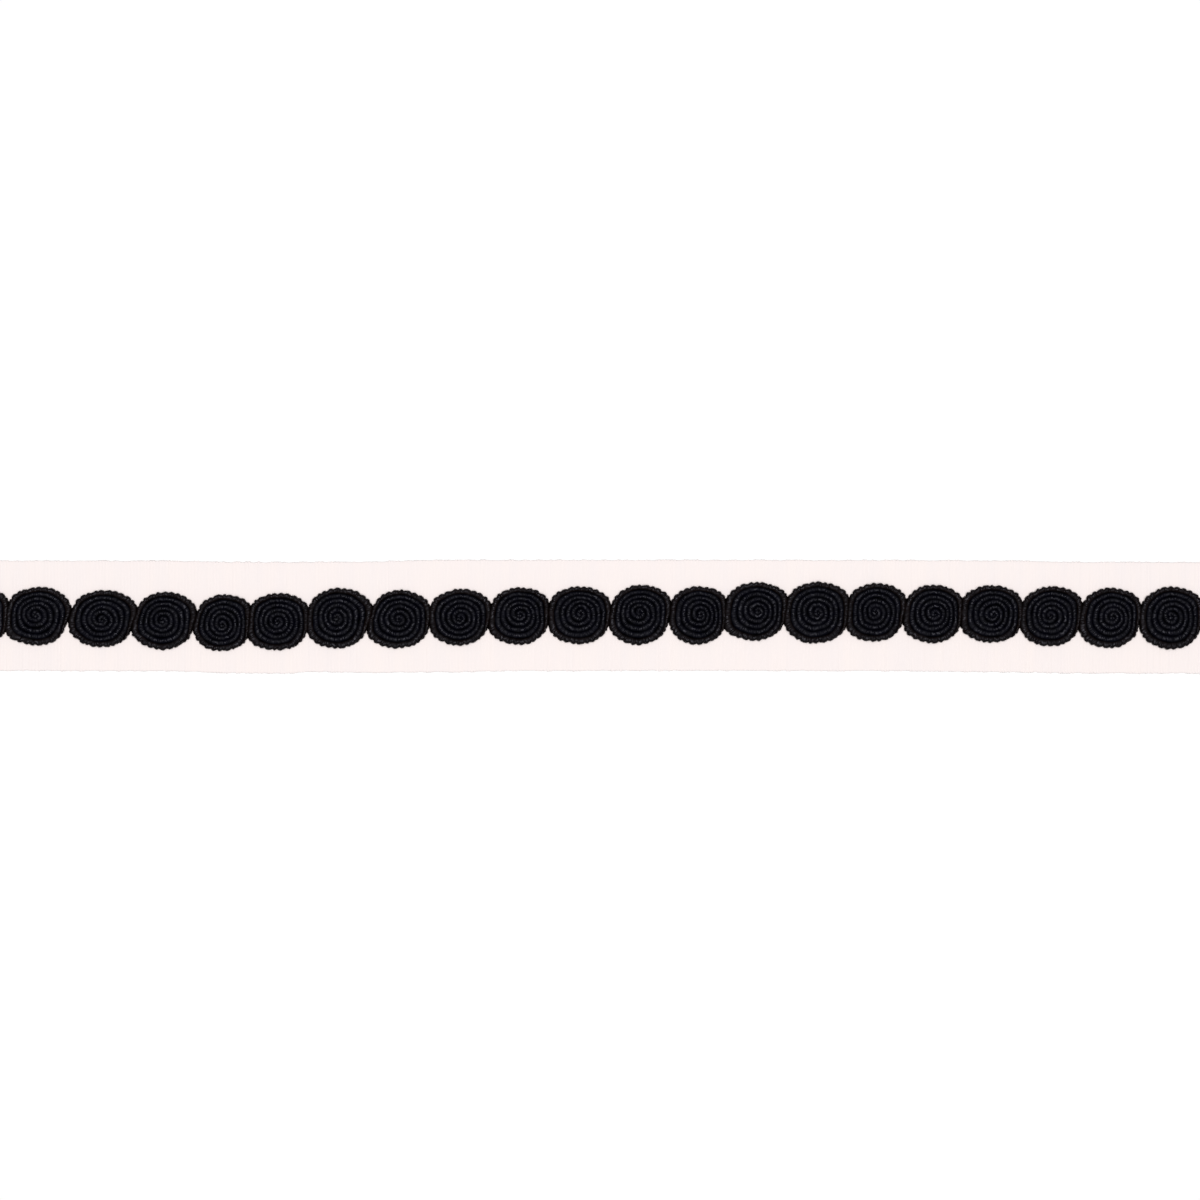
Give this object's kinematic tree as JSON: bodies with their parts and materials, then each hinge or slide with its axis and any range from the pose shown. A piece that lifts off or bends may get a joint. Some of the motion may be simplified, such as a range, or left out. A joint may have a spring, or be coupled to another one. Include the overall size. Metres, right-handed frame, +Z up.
{
  "type": "tape trim with coiled cord rounds",
  "caption": "Flat woven tape trim with one row of black cord, each length coiled into a flat round and sewn edge to edge along the middle.",
  "frame": {"origin": "middle of the tape's back, on the surface it lies on", "axes": "+X along the tape, +Y across it, +Z up out of its front"},
  "size_m": [0.46, 0.0388, 0.0031],
  "materials": {
    "tape": "ribbed woven cotton tape, matt, off-white with a pink cast",
    "cord": "wrapped viscose cord, black, soft satin on the ridges"
  },
  "bodies": {
    "root": {"tape": "tape", "coil_01": "cord", "coil_02": "cord", "coil_03": "cord", "coil_04": "cord", "coil_05": "cord", "coil_06": "cord", "coil_07": "cord", "coil_08": "cord", "coil_09": "cord", "coil_10": "cord", "coil_11": "cord", "coil_12": "cord", "coil_13": "cord", "coil_14": "cord", "coil_15": "cord", "coil_16": "cord", "coil_17": "cord", "coil_18": "cord", "coil_19": "cord", "coil_20": "cord", "coil_21": "cord", "coil_22": "cord"}
  },
  "joints": []
}
